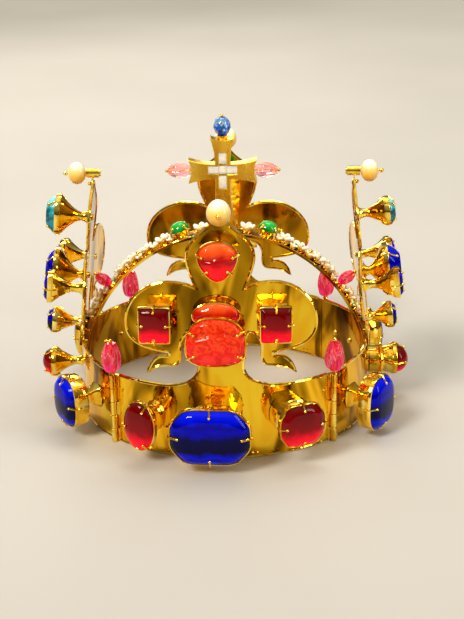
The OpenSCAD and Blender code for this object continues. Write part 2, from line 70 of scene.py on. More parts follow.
# The hinges
HINGE_R = 97.4
BARREL_R = 1.75
BARREL_BORE = 1.05
BARREL_H = 8.76
BARREL_STEP = 9.06
LEAF_W = 2.6
LEAF_T = 0.75
PIN_BEAD_Z = 47.6
PIN_BEAD_H = 18.8
PIN_BEAD_R = 6.3

# The arches
ARCH_A = 92.6
ARCH_B = 96.0
ARCH_SPRING = 20.0
FOOT_Z = 11.0
STUD_Z = 18.0
STUD_HOLE_R = 2.2
STRAP_W = 12.0
STRAP_T = 1.5
LAP = 0.9

# The cross
CROSS_Z = 157.0
CROSS_ARM = 22.0
CROSS_T = 8.5
CROSS_NECK = 4.8
CROSS_FLARE = 7.8


# ---- camera, lights and floor

def make_camera():
    """Stands where the photographer stood: 0.96 m away, looking 20 degrees down."""
    data = bpy.data.cameras.new("camera")
    data.lens = 82.2
    data.clip_end = 50
    camera = bpy.data.objects.new("camera", data)
    camera.location = (0.0282, -0.8752, 0.3844)
    camera.rotation_euler = (turned(1.56) @ turned(69.81, "X") @ turned(-0.94)).to_euler()
    bpy.context.collection.objects.link(camera)
    bpy.context.scene.camera = camera


def make_light(name, kind, place, target, power, tint):
    data = bpy.data.lights.new(name, kind)
    data.energy = power
    data.color = tint
    light = bpy.data.objects.new(name, data)
    light.location = place
    aim = Vector(target) - Vector(place)
    light.rotation_euler = aim.to_track_quat("-Z", "Y").to_euler()
    bpy.context.collection.objects.link(light)
    return data


def make_lights():
    """A soft sun from the front left, weak lights around it and a sky that is bright above."""
    warm = (1.0, 0.93, 0.82)
    sun = make_light("sun", "SUN", (-0.9, -1.1, 1.3), (0, 0, 0), 2.9, warm)
    sun.angle = math.radians(18)
    for name, place, target, size, power, tint in (
            ("fill", (1.3, -0.7, 0.8), (0, 0, 0.08), (0.3, 1.1), 9, warm),
            ("top", (0.1, 0.35, 1.5), (0, 0, 0.1), (0.9, 0.5), 9, (1.0, 0.97, 0.9)),
            ("back", (-0.5, 1.4, 0.7), (0, 0, 0.1), (1.2, 0.4), 7, warm)):
        panel = make_light(name, "AREA", place, target, power, tint)
        panel.shape = "RECTANGLE"
        panel.size, panel.size_y = size
    world = bpy.data.worlds.new("studio")
    world.use_nodes = True
    shade = Shade(world.node_tree)
    way = shade.node("SeparateXYZ", {0: shade.node("TexCoord", {}).outputs["Generated"]})
    height = shade.node("MapRange", {"From Min": -1, "Value": way.outputs["Z"]})
    wall = shade.tree.nodes.new("ShaderNodeMix")
    wall.data_type = "RGBA"
    shade.feed(wall, {
        "Factor": shade.node("LightPath", {}).outputs["Is Camera Ray"],
        "A": shade.ramp(height.outputs["Result"], [
            (0.5, (0.05, 0.04, 0.03)), (0.85, (0.84, 0.74, 0.56)), (0.94, (2.2, 2.0, 1.6))]),
        "B": (0.8, 0.78, 0.74, 1)})
    shade.feed(shade.tree.nodes["Background"], {"Color": wall.outputs["Result"], "Strength": 0.5})
    bpy.context.scene.world = world
    bpy.context.scene.view_settings.view_transform = "Standard"


# ---- materials

class Shade:
    """The nodes of a material or of the world."""

    def __init__(self, tree):
        self.tree = tree

    def feed(self, node, inputs):
        """Gives inputs of a node their values, or joins them to outputs of other nodes."""
        for key, value in inputs.items():
            if isinstance(value, bpy.types.NodeSocket):
                self.tree.links.new(value, node.inputs[key])
            else:
                node.inputs[key].default_value = value

    def node(self, kind, inputs):
        node = self.tree.nodes.new("ShaderNode" + kind)
        self.feed(node, inputs)
        return node

    def math(self, operation, *values):
        node = self.node("Math", {})
        node.operation = operation
        self.feed(node, dict(enumerate(values)))
        return node.outputs["Value"]

    def noise(self, scale, detail, stretch=(1, 1, 1), distortion=0.0):
        coord = self.node("TexCoord", {})
        mapping = self.node("Mapping", {"Scale": stretch, "Vector": coord.outputs["Object"]})
        texture = self.node("TexNoise", {"Scale": scale, "Detail": detail,
                                         "Distortion": distortion,
                                         "Vector": mapping.outputs["Vector"]})
        return texture.outputs["Fac"]

    def ramp(self, source, stops):
        ramp = self.node("ValToRGB", {"Fac": source})
        elements = ramp.color_ramp.elements
        while len(elements) < len(stops):
            elements.new(0.5)
        for element, (position, color) in zip(elements, stops):
            element.position = position
            element.color = (*color, 1)
        return ramp.outputs["Color"]

    def bump(self, height, strength, distance, normal=None):
        bump = self.node("Bump", {"Height": height, "Strength": strength, "Distance": distance})
        if normal is not None:
            self.feed(bump, {"Normal": normal})
        return bump.outputs["Normal"]

    def painted_light_level(self, clouds, gain):
        """Height within a stone from 0 to 1, with gain times the clouds added to it; the colour
        ramps that read it paint light and shade by height.
        """
        rise = self.node("Attribute", {})
        rise.attribute_name = "rise"
        return self.math("MULTIPLY_ADD", clouds, gain, rise.outputs["Fac"])

    def surface(self, inputs):
        self.feed(self.tree.nodes["Principled BSDF"], inputs)


def new_material(name):
    material = bpy.data.materials.new(name)
    material.use_nodes = True
    return material, Shade(material.node_tree)


def gold_material(name, tones, painted_streak_scale, smooth, wave, wave_scale):
    """Polished gold: painted reflections as dark and bright streaks in its colour, fine wiping
    marks and a hand-worked wave.
    """
    material, shade = new_material(name)
    # Painted reflection: slow dark and bright streaks in the base colour stand in for the
    # surroundings mirrored in the gold.
    painted_reflection = shade.noise(painted_streak_scale, 2, (1, 1, 0.4), 1.2)
    wipe = shade.noise(420, 6, (1, 1, 0.25))
    swell = shade.bump(shade.noise(wave_scale, 2), 1.0, wave)
    low, high = smooth
    shade.surface({
        "Metallic": 1.0,
        "Base Color": shade.ramp(painted_reflection, list(zip((0.36, 0.45, 0.54, 0.64), tones))),
        "Roughness": shade.ramp(wipe, [(0.35, (low,) * 3), (0.75, (high,) * 3)]),
        "Normal": shade.bump(wipe, 0.25, 0.00004, swell)})
    return material


def gem_material(name, stops, transmission, ior, painted_glow, cloud, cloud_scale=160, shine=0.5,
                 stretch=(1, 1, 1)):
    """Coloured stone with slow clouds and a hard polish. Its colour changes with height in painted
    bands of light and shade, and it has a painted glow.
    """
    material, shade = new_material(name)
    clouds = shade.noise(cloud_scale, 4, stretch)
    # Painted light and shade: bands of colour by height stand in for the light inside the stone,
    # and the emission is a painted glow.
    tint = shade.ramp(shade.math("SUBTRACT", shade.painted_light_level(clouds, 2 * cloud), cloud), stops)
    shade.surface({
        "Base Color": tint, "Emission Color": tint, "Emission Strength": painted_glow,
        "Transmission Weight": transmission, "IOR": ior, "Specular IOR Level": shine,
        "Roughness": 0.02, "Normal": shade.bump(shade.noise(900, 3), 0.1, 0.00003)})
    return material


def pearl_material(name, stops):
    """Cream pearl with a slow cloudy tone under a soft clear skin. Its colour is painted by
    height: white on top where the light falls, and a painted golden reflection towards its lower
    side.
    """
    material, shade = new_material(name)
    # Painted light and shade by height: white on top where the light falls, a painted golden
    # reflection lower down.
    shade.surface({
        "Base Color": shade.ramp(shade.painted_light_level(shade.noise(130, 3), 0.3), stops),
        "Roughness": 0.22, "Coat Weight": 0.7, "Coat Roughness": 0.08, "Sheen Weight": 0.25,
        "Subsurface Weight": 0.15, "Subsurface Radius": (0.002, 0.0012, 0.0008),
        "Normal": shade.bump(shade.noise(600, 4), 0.3, 0.00005)})
    return material


def floor_material():
    material, shade = new_material("pale_floor")
    tint = shade.ramp(shade.noise(3, 2), [(0.3, (0.42, 0.41, 0.39)), (0.7, (0.46, 0.45, 0.43))])
    shade.surface({"Base Color": tint, "Roughness": 0.6})
    return material


# Painted reflection tones from dark to bright, scale of the painted streaks, smoothness, depth of
# the wave and its scale
GOLDS = {
    "gold_sheet": ((
        (0.18, 0.085, 0.002), (0.46, 0.235, 0.005), (0.98, 0.52, 0.015),
        (1, 0.66, 0.03)), 38, (0.05, 0.13), 0.0007, 26),
    "gold_work": ((
        (0.8, 0.42, 0.02), (0.97, 0.58, 0.04), (1, 0.7, 0.09), (1, 0.82, 0.22)),
        130, (0.05, 0.12), 0.0009, 95),
    "gold_satin": ((
        (0.85, 0.5, 0.04), (0.95, 0.58, 0.05), (1, 0.66, 0.07), (1, 0.72, 0.1)),
        60, (0.26, 0.36), 0.0003, 90),
}
# Painted light and shade from the lower edge up as bands of colour, transmission, index, painted
# glow, clouds, their scale, shine, stretch
GEMS = {
    "red_spinel": ([
        (0, (1, 0, 0.03)), (0.24, (0.7, 0, 0.012)), (0.42, (0.19, 0, 0.002)),
        (1, (0.08, 0, 0))], 0.25, 1.4, 0.32, 0.14, 160, 0.2),
    "rubbed_spinel": ([
        (0.1, (0.86, 0.03, 0.02)), (0.36, (0.64, 0.008, 0.004)), (0.5, (0.75, 0.05, 0.01)),
        (0.66, (0.56, 0.008, 0.001)), (0.85, (0.7, 0.06, 0.01)), (1, (0.58, 0.01, 0))],
        0.15, 1.4, 0.2, 0.7, 190, 0.25),
    "warm_spinel": ([
        (0, (1, 0, 0.02)), (0.3, (0.8, 0, 0.008)), (0.46, (0.3, 0, 0.002)),
        (0.62, (0.42, 0.006, 0)), (0.8, (0.72, 0.06, 0.004)), (1, (0.85, 0.13, 0.02))],
        0.2, 1.4, 0.28, 0.22, 110, 0.4),
    # The pale pink streaks here are painted highlights.
    "pink_spinel": ([
        (0, (0.95, 0.03, 0.26)), (0.25, (0.6, 0, 0.04)), (0.42, (0.85, 0.03, 0.08)),
        (0.5, (0.4, 0, 0.02)), (0.58, (1, 0.32, 0.42)), (0.66, (0.66, 0.01, 0.05)),
        (0.85, (0.9, 0.1, 0.14)), (1, (0.6, 0.01, 0.03))],
        0.6, 1.45, 0.2, 1, 420, 0.6, (1, 1, 0.12)),
    "pale_spinel": ([
        (0, (1, 0.4, 0.5)), (0.5, (1, 0.7, 0.6)), (1, (1, 0.45, 0.42))],
        0.92, 1.35, 0.12, 0.4),
    # The bright blue bands here are painted flashes of reflected light, and the near-black bands
    # are painted shade.
    "sapphire": ([
        (0, (0, 0.02, 0.9)), (0.08, (0, 0, 0.2)), (0.16, (0, 0.003, 0.55)),
        (0.26, (0, 0, 0.02)), (0.52, (0, 0, 0.04)), (0.66, (0, 0, 0.34)),
        (0.74, (0, 0, 0.18)), (0.84, (0, 0.002, 0.46)), (1, (0, 0.006, 0.6))],
        0.1, 1.4, 0.34, 0.16, 90, 0.15),
    "clear_sapphire": ([
        (0.2, (0, 0.03, 0.45)), (0.4, (0.02, 0.2, 0.85)), (0.55, (0, 0.06, 0.55)),
        (0.7, (0.5, 0.8, 1)), (1, (0.1, 0.35, 0.9))], 0.7, 1.6, 0.08, 1, 300),
    "aquamarine": ([
        (0, (0, 0.1, 0.75)), (0.3, (0, 0.3, 0.35)), (0.45, (0, 0.03, 0.06)),
        (0.65, (0, 0.25, 0.28)), (0.9, (0.25, 0.85, 0.85))], 0.4, 1.5, 0.2, 0.5, 200),
    "emerald": ([
        (0.1, (0, 0.12, 0.01)), (0.6, (0, 0.38, 0.03)), (1, (0.02, 0.6, 0.08))],
        0.4, 1.5, 0.2, 0.3, 300),
    "crystal": ([
        (0, (0.75, 0.85, 0.95)), (0.5, (1, 0.98, 0.9)), (1, (0.8, 0.9, 1))],
        0.65, 1.5, 0.12, 0.5, 300),
}
MATERIALS = {name: gold_material(name, *look) for name, look in GOLDS.items()}
MATERIALS |= {name: gem_material(name, *look) for name, look in GEMS.items()}
# Pearls and white flowers: their ramps run from a painted golden reflection below to painted light
# on top.
MATERIALS |= {
    "pearl": pearl_material("pearl_lustre", [
        (0.3, (0.8, 0.36, 0.01)), (0.58, (0.93, 0.54, 0.05)), (0.8, (0.97, 0.76, 0.26)),
        (1, (1, 0.93, 0.7))]),
    "white_bloom": pearl_material("white_bloom", [
        (0.25, (0.9, 0.62, 0.2)), (0.55, (1, 0.92, 0.62)), (0.95, (1, 0.99, 0.86))]),
}


# ---- mesh helpers

class Build:
    """Collects vertices and faces in millimetres, and makes one piece of them."""

    def __init__(self):
        self.verts = []
        self.faces = []
        self.flat = []
        self.rise = []

    def add(self, verts, faces, place, flat=False, rise=None):
        """rise names the axis, 1 or 2, along which the painted light and shade of a stone runs
        from 0 to 1.
        """
        start = len(self.verts)
        if rise is not None:
            heights = [v[rise] for v in verts]
            low, span = min(heights), max(heights) - min(heights)
            self.rise += [(height - low) / span for height in heights]
        self.verts += [place @ Vector(v) for v in verts]
        self.faces += [[start + i for i in face] for face in faces]
        self.flat += [flat] * len(faces)

    def piece(self, name, material, body, slot, replaces=(), sharp=40):
        mesh = bpy.data.meshes.new(name)
        mesh.from_pydata([v * MM for v in self.verts], [], self.faces)
        mesh.validate()
        mesh.materials.append(MATERIALS[material])
        if self.rise:
            rise = mesh.attributes.new("rise", "FLOAT", "POINT")
            rise.data.foreach_set("value", self.rise)
        if len(mesh.polygons) == len(self.flat):
            mesh.polygons.foreach_set("use_smooth", [not flat for flat in self.flat])
        mesh.set_sharp_from_angle(angle=math.radians(sharp))
        piece = bpy.data.objects.new(name, mesh)
        bpy.context.collection.objects.link(piece)
        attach(piece, body)
        if replaces:
            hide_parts(*replaces)
        return piece


def turned(degrees, axis="Z"):
    return Matrix.Rotation(math.radians(degrees), 4, axis)


def moved(x, y, z):
    return Matrix.Translation((x, y, z))


def wall_r(z):
    """Outer radius of a plate: upright at the band, then leaning inwards."""
    over = z - BAND_H
    if over <= -KNEE:
        return BAND_R
    if over >= KNEE:
        return BAND_R - over * SLOPE
    return BAND_R - SLOPE * (over + KNEE) ** 2 / (4 * KNEE)


def wall_bend(z):
    """How strongly the wall is curved across, and how far it is set in, at height z."""
    part = max(0.0, min(1.0, (z - LILY_BEND_FROM) / LILY_BEND_OVER))
    part = part * part * (3 - 2 * part)
    return (1 - part) / BAND_R + part / LILY_BEND, part * LILY_LAP


def wall_point(x, z, out=0.0):
    """Point of the wall that is seen from straight in front at x, z."""
    curve, inset = wall_bend(z)
    turn = math.asin(max(-1, min(1, x * curve)))
    sag = (1 - math.cos(turn)) / curve
    return Vector((x + out * math.sin(turn),
                   inset + sag - wall_r(z) - out * math.cos(turn), z))


def on_wall(side, angle, z):
    """Place on the outside of the wall, +Z pointing out of it and +Y up along it."""
    if z < BAND_H:
        return turned(side + angle) @ moved(0, -BAND_R, z) @ turned(90, "X")
    x = (BAND_R - (z - BAND_H) * SLOPE) * math.sin(math.radians(angle))
    return (turned(side) @ moved(*wall_point(x, z)) @ turned(-LEAN, "X")
            @ Matrix.Rotation(math.asin(x / LILY_BEND), 4, "Z") @ turned(90, "X"))


def on_arch(side, along):
    """Place on top of a half arch, +Z away from it. along is the angle from the crossing."""
    s, c = math.sin(math.radians(along)), math.cos(math.radians(along))
    tilt = math.atan2(s / ARCH_A, c / ARCH_B)
    raise_by = LAP if side % 180 == 0 else 0
    return (turned(side - 90) @ moved(ARCH_A * s, 0, ARCH_SPRING + ARCH_B * c + raise_by)
            @ Matrix.Rotation(tilt, 4, "Y") @ moved(0, 0, STRAP_T / 2))


def loft(rings, loop=False):
    """Quads between rings of the same number of points, with a face at either end."""
    count = len(rings[0])
    verts = [v for ring in rings for v in ring]
    faces = []
    for r in range(len(rings) if loop else len(rings) - 1):
        for i in range(count):
            j = (i + 1) % count
            a, b = r * count, (r + 1) % len(rings) * count
            faces.append([a + i, a + j, b + j, b + i])
    if not loop:
        faces.append(list(range(count))[::-1])
        faces.append([(len(rings) - 1) * count + i for i in range(count)])
    return verts, faces


def wire(points, radius, sides=8, closed=False):
    """Round wire along points, kept from twisting."""
    section = oval(radius, radius, sides)
    points = [Vector(p) for p in points]
    count = len(points)
    rings = []
    up = None
    for i, point in enumerate(points):
        before = points[i - 1] if i or closed else point
        after = points[(i + 1) % count] if i < count - 1 or closed else point
        ahead = (after - before).normalized()
        if up is None:
            up = Vector((0, 0, 1)) if abs(ahead.z) < 0.9 else Vector((1, 0, 0))
        across = ahead.cross(up).normalized()
        up = across.cross(ahead).normalized()
        rings.append([point + across * a + up * b for a, b in section])
    return loft(rings, loop=closed)


def oval(across, along, count):
    return [(across * math.cos(2 * math.pi * k / count), along * math.sin(2 * math.pi * k / count))
            for k in range(count)]


def stacked(outline, rows):
    """Body from rows of size and height, each ring of it the outline at that size."""
    return loft([[(x * size, y * size, z) for x, y in outline] for size, z in rows])


def ball(centre, radius, rings, sides, shape=None):
    """A sphere, or with shape(direction) a body that swells in and out."""
    ways = []
    for r in range(1, rings):
        polar = math.pi * r / rings
        for k in range(sides):
            turn = 2 * math.pi * k / sides
            ways.append(Vector((math.sin(polar) * math.cos(turn),
                                math.sin(polar) * math.sin(turn), math.cos(polar))))
    top, bottom = len(ways), len(ways) + 1
    ways += [Vector((0, 0, 1)), Vector((0, 0, -1))]
    verts = [Vector(centre) + way * radius * (shape(way) if shape else 1) for way in ways]
    faces = []
    for r in range(rings - 2):
        for k in range(sides):
            a, b = r * sides + k, r * sides + (k + 1) % sides
            faces.append([a, a + sides, b + sides, b])
    for k in range(sides):
        faces.append([top, k, (k + 1) % sides])
        base = (rings - 2) * sides
        faces.append([bottom, base + (k + 1) % sides, base + k])
    return verts, faces


def bezier(p0, p1, p2, p3, steps):
    points = []
    for i in range(steps):
        t = i / steps
        s = 1 - t
        points.append(tuple(
            s ** 3 * a + 3 * s * s * t * b + 3 * s * t * t * c + t ** 3 * d
            for a, b, c, d in zip(p0, p1, p2, p3)))
    return points


# ---- plates

# Right half of the top edge beyond its low end: two handles and the end of every curve
LILY_START = (36, BAND_H + 1)
LILY_CURVES = [
    ((26, BAND_H + 2), (14, 50), (13, 60)),
    ((13, 70), (14, 80), (16.5, 81.5)),
    ((21, 82.5), (25, 77), (24.8, 71)),
    ((24, 64), (25, 61), (30, 61)),
    ((36, 61), (41, 60), (44.3, 56)),
    ((42, 63), (39, 67.5), (31, 66)),
    ((31, 67), (31, 68), (31, 69)),
    ((42, 71), (57, 72), (57, 86.5)),
    ((57, 102), (43, 111.5), (31, 111.5)),
    ((23, 111.5), (17, 110), (13.5, 106.8)),
    ((18, 117), (20.5, 124), (19.8, 129)),
    ((18, 139), (6, 143), (2, LILY_H)),
]


def lily_edge():
    """Right half of the plate's top edge, from the hinge to the tip."""
    start = LILY_START
    run = [(END_X - (END_X - start[0]) * i / 12, BAND_H + i / 12) for i in range(12)]
    for first, second, end in LILY_CURVES:
        run += bezier(start, first, second, end, max(3, int(math.dist(start, end) / 1.6)))
        start = end
    return run + [start]


def inside(point, outline):
    x, y = point
    hit = False
    for (x0, y0), (x1, y1) in zip(outline, outline[1:] + outline[:1]):
        if (y0 > y) != (y1 > y) and x < (x1 - x0) * (y - y0) / (y1 - y0) + x0:
            hit = not hit
    return hit


def stitch_holes():
    """Pairs of small sewing holes along the bottom edge, for the lining of the cap."""
    holes = []
    for step in range(-5, 5):
        for pair in (-HOLE_PAIR, HOLE_PAIR):
            turn = math.radians(HOLE_STEP * (step + 0.5) + pair)
            middle = BAND_R * math.sin(turn)
            holes.append([(middle + x * math.cos(turn), HOLE_Z + y)
                          for x, y in oval(HOLE_R, HOLE_R, 8)])
    return holes


def triangles_of(outline, loops, spots):
    """Triangles over the inside of outline that keep the edges of outline and loops."""
    points = [Vector(p) for p in outline]
    rings = [list(range(len(outline)))]
    for loop in loops:
        rings.append(list(range(len(points), len(points) + len(loop))))
        points += [Vector(p) for p in loop]
    points += [Vector(p) for p in spots]
    flat, _, triangles, _, _, _ = delaunay_2d_cdt(points, [], rings, 1, 1e-5)
    kept = []
    for triangle in triangles:
        middle = sum((flat[i] for i in triangle), Vector((0, 0))) / 3
        if inside(middle, outline):
            kept.append((list(triangle), [inside(middle, loop) for loop in loops]))
    return flat, kept


def border(triangles):
    """Edges that belong to only one of the triangles, in its direction."""
    edges = {}
    for a, b, c in triangles:
        for edge in ((a, b), (b, c), (c, a)):
            if edges.pop(edge[::-1], None) is None:
                edges[edge] = True
    return list(edges)


def cut_sheet(outline, holes, spots, place, thick):
    """Sheet with holes. place(x, y, out) bends it; out is 0 on its face, -thick behind."""
    flat, kept = triangles_of(outline, holes, spots)
    kept = [triangle for triangle, hits in kept if not any(hits)]
    count = len(flat)
    verts = [place(p.x, p.y, 0) for p in flat] + [place(p.x, p.y, -thick) for p in flat]
    faces = kept + [[i + count for i in reversed(t)] for t in kept]
    faces += [[b, a, a + count, b + count] for a, b in border(kept)]
    return verts, faces


def sheet_mesh():
    """Front and back of a plate and the cut edges between them."""
    half = lily_edge()
    outline = ([(-END_X + 2 * END_X * i / 60, SHEET_FOOT) for i in range(61)]
               + half + [(-x, z) for x, z in reversed(half)])
    holes = stitch_holes()
    spots = []
    pitch = 2.2
    for row in range(1, int(LILY_H / pitch)):
        for column in range(-31, 32):
            spot = ((column + 0.5 * (row % 2)) * pitch, row * pitch)
            near = min((spot[0] - x) ** 2 + (spot[1] - z) ** 2 for x, z in outline)
            clear = all(math.dist(spot, hole[0]) > 1.8 for hole in holes)
            if near > 1.2 and clear and inside(spot, outline):
                spots.append(spot)
    return cut_sheet(outline, holes, spots, wall_point, SHEET)


def rim_wires():
    """Rounded wire soldered along the bottom edge and along the cut top edge."""
    mid = -SHEET / 2
    reach = END_X - WIRE_SHORT
    half = [(x, z) for x, z in lily_edge() if x < reach]
    top = [wall_point(x, z, mid) for x, z in half + [(-x, z) for x, z in reversed(half)]]
    foot = [wall_point(reach * (i / 30 - 1), FOOT_WIRE_R, mid) for i in range(61)]
    return [wire(top, TOP_WIRE_R), wire(foot, FOOT_WIRE_R)]


def make_plates():
    verts, faces = sheet_mesh()
    wires = rim_wires()
    for name, side in SIDES.items():
        sheet = Build()
        sheet.add(verts, faces, turned(side))
        sheet.piece(f"{name}_sheet", "gold_sheet", f"{name}_panel", "gold_sheet",
                    [f"{name}_plate"])
        rim = Build()
        for run in wires:
            rim.add(*run, turned(side))
        rim.piece(f"{name}_rim_wire", "gold_work", f"{name}_panel", "gold_work")


# ---- stones and collets

# Cut, angle, height, width, tall, stand and crown, as in the frame's design, then the
# finish of the stone and the make of its collet
FRONT_STONES = {
    "spinels": [
        ("pear", -0.6, 127.5, 23, 22, 17, 4, "tumbled", "trumpet"),
        ("square", -24.2, 89.5, 17, 20, 17, 2.5, "step", "box"),
        ("square", 20.4, 89.5, 17, 20, 17, 2.5, "step", "box"),
        ("loaf", -1.6, 80, 36, 28, 18, 5, "tumbled", "folded"),
        ("oval", -1.6, 94, 27, 14, 9, 4, "lobe", "folded"),
        ("oval", -26, 25.5, 20, 30, 19, 4, "dome", "folded"),
        ("octagon", 24.5, 27.5, 28, 25, 22, 3.5, "step", "drum"),
    ],
    "sapphires": [("octagon", -3.3, 25, 47, 34, 23, 4.5, "buff", "folded")],
}
RIGHT_STONES = {
    "spinels": [("oval", 0, 27, 18, 18, 18, 8, "dome", "drum")],
    "aquamarine": [("oval", 0, 127.5, 16, 17, 20, 4, "brilliant", "trumpet")],
    "sapphires": [
        ("square", -20, 90, 13, 14, 22, 2.5, "step", "trumpet"),
        ("square", 20, 90, 13, 14, 22, 2.5, "step", "trumpet"),
        ("cushion", 0, 88.5, 22, 32, 16.5, 8, "brilliant", "trumpet"),
        ("oval", 0, 57, 13, 15.5, 16, 3, "brilliant", "trumpet"),
        ("cushion", -32, 22.5, 28, 33, 21, 4.5, "buff", "goblet"),
        ("cushion", 31, 24, 28, 30, 21, 4.5, "buff", "goblet"),
    ],
}
LEFT_STONES = {
    "spinels": [("oval", 0, 27, 17, 17, 21, 7, "dome", "trumpet")],
    "aquamarine": [("oval", 0, 126.7, 17, 25, 22, 6, "brilliant", "trumpet")],
    "sapphires": [
        ("square", -20, 90, 13, 15, 22, 2.5, "step", "trumpet"),
        ("square", 20, 89, 13, 15, 22, 2.5, "step", "trumpet"),
        ("cushion", 0, 87.5, 22, 31, 21, 5.5, "brilliant", "trumpet"),
        ("oval", 0, 54.5, 13, 15.5, 20, 4, "brilliant", "trumpet"),
        ("cushion", -31, 24, 28, 30, 21, 4.5, "buff", "goblet"),
        ("cushion", 31, 23.5, 28, 30, 21, 4.5, "buff", "goblet"),
    ],
}
RUBBED = ("tumbled", "lobe")
STONE_SLOT = {"spinels": "red_spinel", "sapphires": "sapphire", "aquamarine": "aquamarine"}
RIM_T = 1.2
RIM_H = 3.0
CLAW_R = 0.6
CLAW_BALL_R = 0.95
DRUM_RING = (11.2, 10.6)
DRUM_WIRE_R = 1.1
CLAWS = {"lobe": (), "tumbled": (20, 160, 215, 325), "step": (0, 90, 180, 270),
         "dome": (60, 180, 300), "brilliant": (45, 135, 225, 315), "buff": (0, 90, 180, 270)}


def stones_of(side):
    return {90: RIGHT_STONES, 270: LEFT_STONES}.get(side, FRONT_STONES)


def corner_outline(cut, w, h):
    """The few corners of a square or octagon, with the octagon's own corners taken off."""
    a, b = w / 2, h / 2
    cut_x, cut_y = (0.62, 0.42) if cut == "octagon" else (0.94, 0.95)
    quarter = [(a, b * cut_y), (a * cut_x, b)]
    left = [(-x, y) for x, y in reversed(quarter)]
    corners = quarter + left + [(-x, -y) for x, y in quarter + left]
    if cut == "square":
        return corners
    return [(p[0] + (q[0] - p[0]) * part, p[1] + (q[1] - p[1]) * part)
            for p, q in zip(corners, corners[1:] + corners[:1]) for part in (0.13, 0.87)]


def edge_point(corners, way):
    """Where the line from the middle towards way crosses the outline through corners."""
    for p, q in zip(corners, corners[1:] + corners[:1]):
        p, q = Vector(p), Vector(q)
        edge = q - p
        det = way.x * -edge.y + edge.x * way.y
        if abs(det) < 1e-9:
            continue
        along = (p.x * -edge.y + edge.x * p.y) / det
        on_edge = (way.x * p.y - way.y * p.x) / det
        if along > 0 and -1e-6 <= on_edge <= 1 + 1e-6:
            return way.x * along, way.y * along


def squarer(value, power):
    return math.copysign(abs(value) ** power, value)


def girdle(cut, w, h, grow, count=48):
    """Outline of a stone's widest line, as points counted from its right end."""
    a, b = w / 2 + grow, h / 2 + grow
    if cut in ("square", "octagon"):
        corners = corner_outline(cut, 2 * a, 2 * b)
        return [edge_point(corners, Vector(way)) for way in oval(a, b, count)]
    around = oval(1, 1, count)
    if cut == "cushion":
        return [(a * squarer(c, 0.7), b * squarer(s, 0.7)) for c, s in around]
    if cut == "pear":
        return [(a * c * (1 + 0.3 * s) / 1.08, b * s) for c, s in around]
    if cut == "loaf":
        return [(a * squarer(c, 0.75) * (1 - 0.14 * s) / 1.06, b * squarer(s, 0.75))
                for c, s in around]
    return oval(a, b, count)


def cup_depth(w, h):
    return 0.3 * min(w, h)


def collet_foot(style, w, h, rim):
    """Narrow outline low on a collet, from which its walls spread to the rim."""
    count = len(rim)
    return {"box": [(x * 0.52, y * 0.52) for x, y in rim],
            "folded": oval(w * 0.3, h * 0.27, count),
            "drum": oval(8, 8, count),
            "goblet": girdle("square", 6, 6, 0, count),
            "trumpet": oval(2.6, 2.6, count)}[style]


def collet_rows(style, low):
    """How far every row lies from the foot, 0, to the rim, 1, and how high it stands."""
    return {
        "box": [(0.7, 0), (0.62, 1.2), (0.12, 0.34 * low), (0, 0.5 * low), (0.22, 0.68 * low),
                (1, low)],
        "folded": [(0.25, 0), (0.05, 0.2 * low), (0.4, 0.6 * low), (1, low)],
        "drum": [(0.55, 0), (0.62, 0.4 * low), (0.6, 0.5 * low), (0.2, 0.6 * low), (1, low)],
        "goblet": [(0.36, 0), (0.3, 0.8), (0, 0.42 * low), (0.12, 0.5 * low), (0.7, 0.58 * low),
                   (0.97, 0.66 * low), (1, 0.74 * low), (1, low)],
        "trumpet": [(0.36, 0), (0.24, 0.8), (0.07, 0.16 * low), (0, 0.3 * low),
                    (0.1, 0.45 * low), (0.3, 0.62 * low), (0.58, 0.8 * low), (1, low)],
    }[style]


def collet_body(cut, w, h, stand, style, seed):
    """Walls of a collet from the plate out to its rim, hollow behind the stone."""
    count = 12 if style == "folded" else 48
    rim = girdle(cut, w, h, RIM_T - 0.2, count)
    seat = girdle(cut, w, h, 0.4, count)
    foot = collet_foot(style, w, h, rim)
    rows = collet_rows(style, stand - RIM_H)
    rings = []
    for index, (part, z) in enumerate(rows):
        ring = [(x0 + (x1 - x0) * part, y0 + (y1 - y0) * part, z)
                for (x0, y0), (x1, y1) in zip(foot, rim)]
        if style == "folded" and 0 < index < len(rows) - 1:
            ring = [(x * (1 + 0.22 * noise.noise((seed, i * 1.7, index))),
                     y * (1 + 0.22 * noise.noise((seed + 5, i * 1.7, index))),
                     z + 1.4 * noise.noise((seed + 9, i * 1.3, index)))
                    for i, (x, y, z) in enumerate(ring)]
        rings.append(ring)
    rings.append([(x, y, stand - 0.8) for x, y in rim])
    rings.append([(x, y, stand - 0.8) for x, y in seat])
    rings.append([(x * 0.4, y * 0.4, stand - cup_depth(w, h) - 0.6) for x, y in seat])
    return loft(rings)


def rim_band(cut, w, h, stand):
    """Upright band round the girdle with a rounded lip."""
    rows = [(0.15, -0.7), (0.15, 0.1), (0.5, 0.45), (0.95, 0.25), (RIM_T, -0.3),
            (RIM_T, -RIM_H + 0.6), (RIM_T - 0.5, -RIM_H)]
    return loft([[(x, y, stand + z) for x, y in girdle(cut, w, h, grow)] for grow, z in rows],
                loop=True)


def claw(cut, w, h, stand, crown, turn, low, inward=0.82):
    """Wire up the side of a collet and over the stone, with a small ball at its end."""
    k = round(turn / 5) % 72
    out = Vector(girdle(cut, w, h, RIM_T + 0.35, 72)[k]).to_3d()
    over = Vector(girdle(cut, w, h, 0, 72)[k]).to_3d()
    up = Vector((0, 0, 1))
    tip = over * inward + up * (stand + 0.62 * crown + 0.8)
    run = [out * 0.86 + up * low, out + up * (stand - RIM_H + 0.5), out + up * (stand - 0.4),
           out * 0.995 + up * (stand + 0.6), over * 0.96 + up * (stand + 0.2 * crown + 1),
           tip]
    return [wire(run, CLAW_R), ball(tip, CLAW_BALL_R, 8, 12)]


